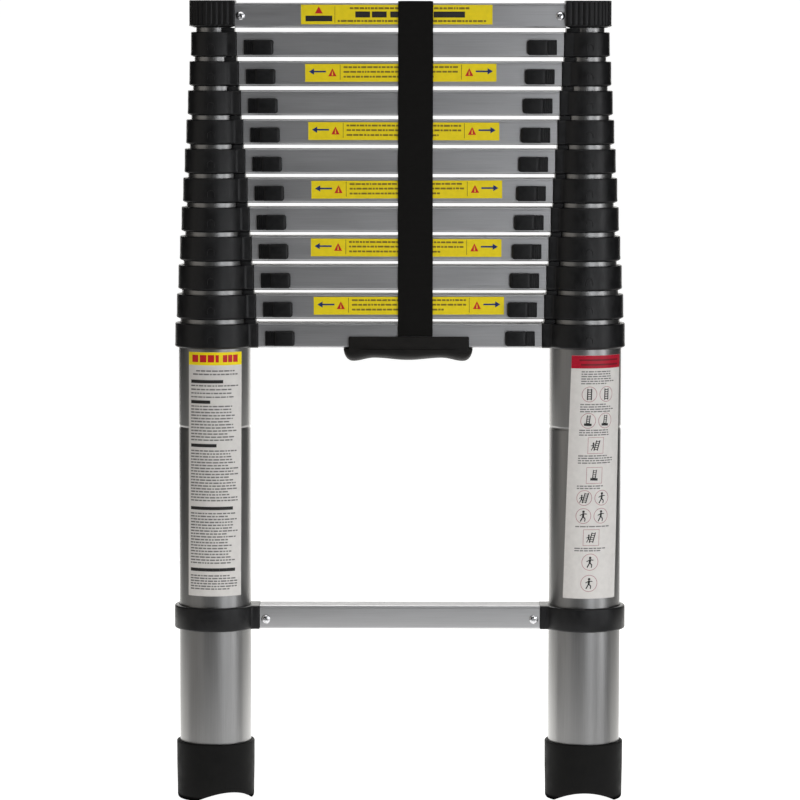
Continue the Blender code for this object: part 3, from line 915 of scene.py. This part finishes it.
def strap_path():
    """(y, z, ny, nz) along the strap's middle, from the foot of the front leg over the rung to the rear
    one's. ny and nz point out of the loop."""
    y, top = STRAP_HIGH.y - STRAP_THICKNESS / 2 - 0.05 * MM, STRAP_HIGH.z - STRAP_THICKNESS / 2 - 0.05 * MM
    bend = 4.2 * MM
    foot = STRAP_LOW.z

    def corner(middle, start):
        turns = [(cos(a), sin(a)) for a in (radians(start - 90 * k / 8) for k in range(9))]
        return [(middle + bend * c, top - bend + bend * s, c, s) for c, s in turns]

    leg = [foot + (top - bend - foot) * k / 84 for k in range(84)]
    path = [(-y, z, -1, 0) for z in leg]
    path += corner(-y + bend, 180)
    flat = [(-y + bend) * (1 - 2 * k / 8) for k in range(1, 8)]
    path += [(a, top, 0, 1) for a in flat]
    path += corner(y - bend, 90)
    return path + [(y, z, 1, 0) for z in reversed(leg)]


def make_strap():
    """Flat webbing, with rounded selvedges and a slight slackness between the rungs."""
    x0, x1 = STRAP_LOW.x, STRAP_HIGH.x
    path = strap_path()
    bm = bmesh.new()
    uv = bm.loops.layers.uv.new("cloth")
    grid, length, along = [], 0.0, []
    for k, (y, z, ny, nz) in enumerate(path):
        if k:
            length += hypot(y - path[k - 1][0], z - path[k - 1][1])
        along.append(length)
        edge = 0.10 * MM * sin(length / (37 * MM)) + 0.06 * MM * sin(length / (11 * MM))
        front, back = [], []
        for j in range(STRAP_COLUMNS + 1):
            t = j / STRAP_COLUMNS
            x = x0 + (x1 - x0) * t + edge
            thin = 1 - abs(2 * t - 1) ** 14 * 0.65
            h = STRAP_THICKNESS / 2 * thin
            front.append((x, y + ny * h, z + nz * h, t))
            back.append((x, y - ny * h, z - nz * h, t))
        grid.append([(bm.verts.new(p[:3]), p[3] * (x1 - x0), length) for p in front + back[::-1]])
    count = len(grid[0])

    def add(corners):
        face = bm.faces.new([c[0] for c in corners])
        for loop, corner in zip(face.loops, corners):
            loop[uv].uv = (corner[1], corner[2])

    for lower, upper in zip(grid, grid[1:]):
        for k in range(count):
            after = (k + 1) % count
            add((lower[k], lower[after], upper[after], upper[k]))
    half = count // 2
    for row in (grid[0], grid[-1]):
        for k in range(half - 1):
            add((row[k], row[k + 1], row[count - 2 - k], row[count - 1 - k]))
    shape = Shape()
    shape.bm.free()
    shape.bm = bm
    strap = shape.object("carrying_strap", [webbing_finish], 60)
    settle(strap, body_of(SECTIONS), "strap_webbing", "strap")


# ---- printed films

FILM = 0.12 * MM
PRINT = 0.05 * MM
INK_FOOT, INK_TOP = FILM - 0.01 * MM, FILM + PRINT  # print starts just inside the film


class Film:
    """A printed label: a base film with shapes in ink. A point (u, v) on it is wrapped on to a surface."""

    def __init__(self, wrap):
        self.shape = Shape()
        self.wrap = wrap
        self.inks = []

    def ink_index(self, finish):
        if finish not in self.inks:
            self.inks.append(finish)
        return self.inks.index(finish)

    def strip(self, columns, finish, low=INK_FOOT, high=INK_TOP):
        """A solid strip through (u, lowest v, highest v) columns."""
        rows = []
        for u, bottom, top in columns:
            corners = ((bottom, low), (top, low), (top, high), (bottom, high))
            rows.append([self.wrap(u, v, h) for v, h in corners])
        self.shape.rows(rows, self.ink_index(finish))

    def bar(self, u0, u1, v0, v1, finish, **heights):
        steps = max(1, ceil(abs(u1 - u0) / (4 * MM)))
        self.strip([(u0 + (u1 - u0) * k / steps, v0, v1) for k in range(steps + 1)], finish, **heights)

    def base(self, half_u, v0, v1, finish):
        """The film itself, in rows short enough to stay on a surface that it winds round."""
        columns = [half_u * (2 * k / 24 - 1) for k in range(25)]
        levels = max(1, ceil((v1 - v0) / (12 * MM)))
        rows = []
        for k in range(levels + 1):
            v = v0 + (v1 - v0) * k / levels
            face = [self.wrap(u, v, FILM) for u in columns]
            rows.append(face + [self.wrap(u, v, 0.0) for u in columns[::-1]])
        self.shape.rows(rows, self.ink_index(finish))

    def arrow(self, tail, tip, v, finish):
        """A plain arrow from tail to tip, with a stepped shaft and a barbed head."""
        way = 1 if tip > tail else -1
        neck = tip - way * 5.5 * MM
        shaft, head = 0.9 * MM, 3.4 * MM
        self.strip([(tail, v - shaft, v + shaft), (neck + way * 1.2 * MM, v - shaft, v + shaft)], finish)
        self.strip([(neck, v - head, v + head), (neck + way * 0.1 * MM, v - head, v + head),
                    (tip, v - 0.1 * MM, v + 0.1 * MM)], finish)

    def triangle(self, u, v, half, height, finish, **heights):
        thin = 0.05 * MM
        self.strip([(u - half, v, v + thin), (u, v, v + height), (u + half, v, v + thin)], finish, **heights)

    def ring(self, u, v, radius, width, finish):
        rows = []
        for a in around(32):
            c, s = cos(a), sin(a)
            corners = ((radius - width, INK_FOOT), (radius, INK_FOOT),
                       (radius, INK_TOP), (radius - width, INK_TOP))
            rows.append([self.wrap(u + r * c, v + r * s, h) for r, h in corners])
        self.shape.rows(rows, self.ink_index(finish), closed=True)

    def stroke(self, start, end, width, finish=None):
        """A straight stroke with square ends."""
        start, end = Vector(start), Vector(end)
        along = end - start
        side = Vector((-along.y, along.x)).normalized() * (width / 2)
        steps = max(1, ceil(along.length / (2 * MM)))
        rows = []
        for k in range(steps + 1):
            middle = start + along * k / steps
            corners = ((-1, INK_FOOT), (1, INK_FOOT), (1, INK_TOP), (-1, INK_TOP))
            rows.append([self.wrap(*(middle + way * side), h) for way, h in corners])
        self.shape.rows(rows, self.ink_index(finish or black_ink))

    def frame(self, u, v, half, width, finish):
        """A square outline."""
        for way in (-1, 1):
            side, end = u + way * (half - width / 2), v + way * (half - width / 2)
            self.bar(side - width / 2, side + width / 2, v - half, v + half, finish)
            self.bar(u - half, u + half, end - width / 2, end + width / 2, finish)

    def disc(self, u, v, radius, finish):
        columns = []
        for k in range(-6, 7):
            du = radius * sin(pi / 2 * k / 6.2)
            dv = sqrt(radius**2 - du**2)
            columns.append((u + du, v - dv, v + dv))
        self.strip(columns, finish)

    def words(self, u0, u1, v, height, finish, draw):
        """A line of print, as plain bars of the lengths that words have."""
        while u0 < u1 - 1.5 * MM:
            end = min(u1, u0 + draw.uniform(1.8, 6.5) * MM)
            self.bar(u0, end, v, v + height, finish)
            u0 = end + 0.9 * MM

    def done(self, name, section, slot):
        settle(self.shape.object(name, self.inks), body_of(section), slot)


STICKER_HALF = 103.9 * MM
STICKER_LOW, STICKER_HIGH = 5.0 * MM, 24.4 * MM
STICKERS = {12: (-3.96, 0.0), 10: (0.5, 0.15), 8: (3.8, -0.1), 6: (7.1, 0.2), 4: (6.6, -0.15), 2: (9.6, 0.1)}


def make_sticker(section, shift, tilt):
    """The yellow film on the front of a rung: outward arrows, triangles and lines of print."""
    turn = radians(tilt)
    middle = (STICKER_LOW + STICKER_HIGH) / 2

    def wrap(u, v, h):
        v -= middle
        x = shift + u * cos(turn) - v * sin(turn)
        z = section_z(section) + middle + u * sin(turn) + v * cos(turn)
        return Vector((x, -RUNG_HALF_DEPTH - 0.02 * MM - h, z))

    draw = random.Random(section)
    film = Film(wrap)
    drop = 1.4 * MM if section == SECTIONS else 0
    film.base(STICKER_HALF, STICKER_LOW - drop, STICKER_HIGH + drop / 3, yellow_ink)
    if section == SECTIONS:
        film.triangle(-84.6 * MM, 15.4 * MM, 4.3 * MM, 7.6 * MM, red_ink)
        film.bar(-99 * MM, -70 * MM, 6.9 * MM, 13.0 * MM, black_ink)
        film.bar(-67.4 * MM, -66.9 * MM, 5.2 * MM, 23 * MM, brown_ink)
        film.words(-51 * MM, 80 * MM, 20.0 * MM, 2.2 * MM, brown_ink, draw)
        for u, width in ((-45, 16), (-27, 16), (-7, 18), (15, 20), (40, 34)):
            film.bar(u * MM, (u + width) * MM, 11.1 * MM, 17.6 * MM, black_ink)
        film.words(-64 * MM, 97 * MM, 6.2 * MM, 2.2 * MM, brown_ink, draw)
    else:
        for way in (-1, 1):
            film.arrow(way * 81.3 * MM, way * 99.7 * MM, 16.1 * MM, blue_ink)
            film.triangle(way * 74.3 * MM, 11.0 * MM, 4.45 * MM, 8.6 * MM, red_ink)
            film.triangle(way * 74.3 * MM, 12.0 * MM, 0.8 * MM, 5.2 * MM, yellow_ink, high=FILM + 2 * PRINT)
            film.bar(way * 66.2 * MM, way * 65.6 * MM, 7.3 * MM, 23.6 * MM, brown_ink)
        for v, end in ((19.8 * MM, 62.4 * MM), (14.8 * MM, 62.4 * MM), (9.5 * MM, 38 * MM)):
            film.words(-62.2 * MM, end, v, 2.0 * MM, brown_ink, draw)
    film.done(f"rung_sticker_{section:02d}", section, "rung_sticker")


def round_tube(side, middle, lean=0.0):
    """Wraps (u, v) on to section 1's tube: u round it from its front, v above the label's foot."""
    r = tube_radius(1) + 0.03 * MM

    def wrap(u, v, h):
        a = (u + middle + lean * v) / r
        return Vector((side * STILE_X + (r + h) * sin(a), -(r + h) * cos(a), LABEL_LOW[side] + v))

    return wrap


LABEL_LOW = {LEFT: 228.0 * MM, RIGHT: 225.9 * MM}
LABEL_HEIGHT = {LEFT: 267.9 * MM, RIGHT: 266.9 * MM}
RAISED = {"low": FILM, "high": FILM + 2 * PRINT}
LEFT_HEADINGS = ((17.9, 37), (40.2, 23), (87.9, 30), (156.8, 49), (224.4, 52))  # below the header, width
LEFT_LINES = (  # first line and last line below the header, spacing
    (22.5, 36.0, 4.1), (45.0, 82.0, 3.35), (93.8, 150.5, 3.2), (162.5, 218.5, 3.2), (231.0, 246.5, 2.9))


def make_left_label():
    """A long label: a yellow header with red bars, then black headings over lines of print."""
    film, draw = Film(round_tube(LEFT, 0.65 * MM, 0.0073)), random.Random(5)
    half, top = 32 * MM, LABEL_HEIGHT[LEFT]
    film.base(half, 0, top, paper_ink)
    head = top - 14.3 * MM
    film.bar(-half + 0.1 * MM, half - 0.1 * MM, head, top - 0.1 * MM, header_ink)
    for start, end in ((-27, -19.5), (-17.5, -10), (-8.5, -1.5), (0, 3.5), (8, 13), (14, 19), (20, 26)):
        film.bar(start * MM, end * MM, head + 3.2 * MM, head + 11.2 * MM, red_ink, **RAISED)
    for drop, start in ((5.5, -22), (9.2, -26)):
        film.words(start * MM, -start * MM, head - (drop + 1.5) * MM, 1.5 * MM, grey_ink, draw)
    for drop, width in LEFT_HEADINGS:
        low, high = head - (drop + 1.8) * MM, head - (drop - 1.8) * MM
        film.bar(-28.5 * MM, (width - 28.5) * MM, low, high, black_ink)
    for first, last, step in LEFT_LINES:
        for k in range(int((last - first) / step) + 1):
            v = head - (first + k * step + 0.7) * MM
            film.words(-28.5 * MM, draw.uniform(14, 28) * MM, v, 1.4 * MM, grey_ink, draw)
    film.done("stile_label_left", 1, "stile_label")


def add_ladder_glyph(film, u, v, size, lean=0.0):
    """A plain small ladder, size being half its height; lean is how far its top is to the right."""
    for offset in (-0.34, 0.34):
        foot, tip = u + (offset - lean) * size, u + (offset + lean) * size
        film.stroke((foot, v - size), (tip, v + size), 0.2 * size)
    for k in range(5):
        t = -0.8 + 0.4 * k
        film.stroke((u + (lean * t - 0.4) * size, v + t * size), (u + (lean * t + 0.4) * size, v + t * size),
                    0.14 * size)


def add_figure_glyph(film, u, v, size):
    """A plain striding figure: a disc over a body, two arms and two legs."""
    film.disc(u, v + 0.76 * size, 0.22 * size, black_ink)
    for start, end, width in FIGURE:
        ends = [(u + x * size, v + y * size) for x, y in (start, end)]
        film.stroke(*ends, width * size)


def add_climber_glyph(film, u, v, size):
    """A smaller figure in front of a leaning ladder."""
    add_ladder_glyph(film, u + 0.2 * size, v, 0.9 * size, 0.25)
    add_figure_glyph(film, u - 0.45 * size, v - 0.15 * size, 0.72 * size)


def add_block_glyph(film, u, v, size):
    """A ladder that stands on a block."""
    add_ladder_glyph(film, u, v + 0.2 * size, 0.78 * size, 0.1)
    film.stroke((u - 0.72 * size, v - 0.66 * size), (u + 0.62 * size, v - 0.72 * size), 0.42 * size)


FIGURE = (  # start, end and width of each limb, as shares of the figure's half height
    ((0.02, 0.52), (-0.06, -0.18), 0.36), ((-0.05, -0.1), (-0.5, -0.96), 0.21),
    ((-0.05, -0.1), (0.34, -0.5), 0.21), ((0.34, -0.5), (0.26, -0.98), 0.18),
    ((0.0, 0.42), (-0.62, 0.08), 0.16), ((0.0, 0.42), (0.6, 0.34), 0.16))
GLYPHS = (add_ladder_glyph, add_figure_glyph, add_climber_glyph, add_block_glyph)
GLYPH_SIZE = 6.2 * MM
LINE_GAP = 2.6 * MM
COLUMN_HALF = 9.9 * MM
SINGLE_SHIFT = -2.6 * MM  # of the lowest mark; the column of marks leans less than the label
RIGHT_LAYOUT = (  # kind, height above the label's foot, then lines of print or the glyphs side by side
    ("lines", 248.5, 6), ("rings", 224.4, (0, 0)), ("lines", 212.7, 4), ("rings", 195.5, (3, 3)),
    ("lines", 184.5, 3), ("frame", 168.4, (2,)), ("lines", 156.4, 4), ("frame", 135.6, (3,)),
    ("lines", 123.3, 2), ("rings", 110.9, (2, 1)), ("rings", 91.1, (1, 1)), ("lines", 78.8, 1),
    ("frame", 67.3, (2,)), ("lines", 54.8, 2), ("rings", 40.3, (1,)), ("rings", 16.9, (1,)),
)


def make_right_label():
    """A long label: a crimson header, then small plain pictograms between lines of print."""
    film, draw = Film(round_tube(RIGHT, 5.3 * MM, 0.0363)), random.Random(9)
    half, top = 31.9 * MM, LABEL_HEIGHT[RIGHT]
    film.base(half, 0, top, paper_ink)
    head = top - 14.2 * MM
    film.bar(-half + 0.1 * MM, half - 0.1 * MM, head, top - 0.1 * MM, crimson_ink)
    for v, start in ((head + 8.2 * MM, -23 * MM), (head + 3.2 * MM, -21 * MM)):
        film.bar(start, 26 * MM, v, v + 1.8 * MM, dark_red_ink, **RAISED)
    for kind, height, what in RIGHT_LAYOUT:
        v = height * MM
        if kind == "lines":
            for k in range(what):
                film.words(-20 * MM, draw.uniform(8, 21) * MM, v - k * LINE_GAP, 1.2 * MM, grey_ink, draw)
            continue
        middle = SINGLE_SHIFT * (1 - v / top)
        columns = (middle - COLUMN_HALF, middle + COLUMN_HALF) if len(what) == 2 else (middle,)
        for u, glyph in zip(columns, what):
            if kind == "rings":
                film.ring(u, v, (8.5 if len(what) == 2 else 9.3) * MM, 0.6 * MM, pink_ink)
            else:
                film.frame(u, v, 9.0 * MM, 0.5 * MM, pink_ink)
            GLYPHS[glyph](film, u, v, GLYPH_SIZE)
    film.done("stile_label_right", 1, "stile_label")


# ---- stage, light and camera

FLOOR_SIZE = 4000.0
FLOOR_GLOW, BACKGROUND_GLOW = 1.0, 1.05  # both come out white
CAMERA = Vector((0, -4.6, 0.870))
CAMERA_PITCH = radians(5.336)
CAMERA_ROLL = radians(0.064)
LENS = 189.28


def make_stage():
    mesh = bpy.data.meshes.new("studio_floor")
    bm = bmesh.new()
    bmesh.ops.create_grid(bm, x_segments=2, y_segments=2, size=FLOOR_SIZE / 2)
    bm.to_mesh(mesh)
    bm.free()
    floor = bpy.data.objects.new("studio_floor", mesh)
    bpy.context.scene.collection.objects.link(floor)
    white = surface("studio_white", (0.19, 0.19, 0.19), (0.21, 0.21, 0.21), (0.7, 0.8), (2.0, EVEN),
                    (0.1, EVEN, 0.0), Emission_Color=(1, 1, 1, 1), Emission_Strength=FLOOR_GLOW)
    mesh.materials.append(white)
    floor.visible_glossy = floor.visible_diffuse = False


ROOM = (0.02, 0.02, 0.02)
SOFT_BOXES = (  # name, place, aim, size, radiance, colour
    ("floor_front", (0, -1.2, 0.003), (0, -1.2, 1), (3.0, 2.4), 0.34, (1, 1, 1)),
    ("floor_back", (0, 1.4, 0.003), (0, 1.4, 1), (3.0, 2.8), 1.54, (1, 0.99, 0.96)),
    ("floor_pool", (0, 0, 0.004), (0, 0, 1), (0.9, 1.2), 0.93, (1, 1, 1)),
    ("near_right", (0.75, -1.5, 0.55), (0, 0, 0.5), (0.6, 0.9), 3.02, (0.95, 0.97, 1.0)),
    ("mid_right", (1.7, -1.0, 0.7), (0, 0, 0.55), (0.6, 1.4), 3.99, (0.97, 0.98, 1.0)),
    ("camera_right", (1.1, -3.7, 0.95), (0, 0, 0.6), (1.5, 1.6), 0.37, (0.95, 0.97, 1.0)),
    ("mid_left", (-1.5, -1.2, 0.7), (0, 0, 0.55), (0.5, 1.4), 0.79, (1.0, 0.96, 0.91)),
    ("left_side", (-1.9, -0.5, 0.8), (0, 0, 0.6), (0.8, 1.6), 0.67, (1.0, 0.95, 0.88)),
    ("top_back", (0, 1.5, 1.9), (0, 0, 0.5), (2.4, 1.2), 2.68, (1, 1, 1)),
    ("top_front", (0, -1.5, 2.2), (0, 0, 0.5), (2.0, 1.0), 2.21, (1, 1, 1)),
    ("back", (0, 1.9, 1.2), (0, 0, 1.2), (2.4, 2.4), 2.03, (1, 0.985, 0.95)),
    # for the extended ladder, which stands higher than the other boxes reach
    ("high_right", (1.9, -1.6, 2.7), (0, 0, 2.7), (0.7, 2.0), 1.5, (0.97, 0.98, 1.0)),
    ("high_left", (-1.9, -1.6, 2.7), (0, 0, 2.7), (0.6, 2.0), 0.7, (1.0, 0.96, 0.91)),
    ("high_back", (0, 2.4, 3.0), (0, 0, 3.0), (2.4, 1.6), 0.8, (1, 1, 1)),
)


def soft_box(name, place, aim, size, radiance, tint):
    """A light that shows in the metal, but not in the picture's background."""
    data = bpy.data.lights.new(name, "AREA")
    data.shape = "RECTANGLE"
    data.size, data.size_y = size
    data.energy = radiance * pi * size[0] * size[1]
    data.color = tint
    light = bpy.data.objects.new(name, data)
    bpy.context.scene.collection.objects.link(light)
    light.location = place
    light.rotation_euler = (Vector(aim) - Vector(place)).to_track_quat("-Z", "Y").to_euler()
    light.visible_camera = False


def make_lights():
    """The background is white and the room round it is dim, so the ladder is lit by the soft boxes."""
    world = bpy.data.worlds.new("studio")
    world.use_nodes = True
    tree = world.node_tree
    room, plain = tree.nodes["Background"], node(tree, "ShaderNodeBackground")
    choice = node(tree, "ShaderNodeMixShader")
    room.inputs["Color"].default_value = (*ROOM, 1)
    plain.inputs["Color"].default_value = (1, 1, 1, 1)
    plain.inputs["Strength"].default_value = BACKGROUND_GLOW
    tree.links.new(node(tree, "ShaderNodeLightPath").outputs["Is Camera Ray"], choice.inputs["Fac"])
    tree.links.new(room.outputs["Background"], choice.inputs[1])
    tree.links.new(plain.outputs["Background"], choice.inputs[2])
    tree.links.new(choice.outputs["Shader"], tree.nodes["World Output"].inputs["Surface"])
    bpy.context.scene.world = world
    for box in SOFT_BOXES:
        soft_box(*box)


def make_camera():
    data = bpy.data.cameras.new("photo_view")
    data.lens = LENS
    data.sensor_width = 36
    data.clip_end = 3 * FLOOR_SIZE
    camera = bpy.data.objects.new("photo_view", data)
    bpy.context.scene.collection.objects.link(camera)
    camera.location = CAMERA
    look = Matrix.Rotation(pi / 2 - CAMERA_PITCH, 4, "X") @ Matrix.Rotation(CAMERA_ROLL, 4, "Z")
    camera.rotation_euler = look.to_euler()
    bpy.context.scene.camera = camera


# ---- the ladder


def build():
    make_camera()
    make_lights()
    make_stage()
    for side in SIDES:
        for section in range(1, SECTIONS + 1):
            make_tube(section, side)
        for section in range(1, SECTIONS):
            make_collar(section, side)
            make_latch(section, side)
        make_clamp(side)
        make_cap(side)
        make_foot(side)
    for section in range(1, SECTIONS):
        make_rung(section)
    make_top_rung()
    make_lower_rung()
    make_grip()
    make_strap()
    for section, (shift, tilt) in STICKERS.items():
        make_sticker(section, shift * MM, tilt)
    make_left_label()
    make_right_label()
    bpy.context.scene.view_settings.view_transform = "Standard"


build()
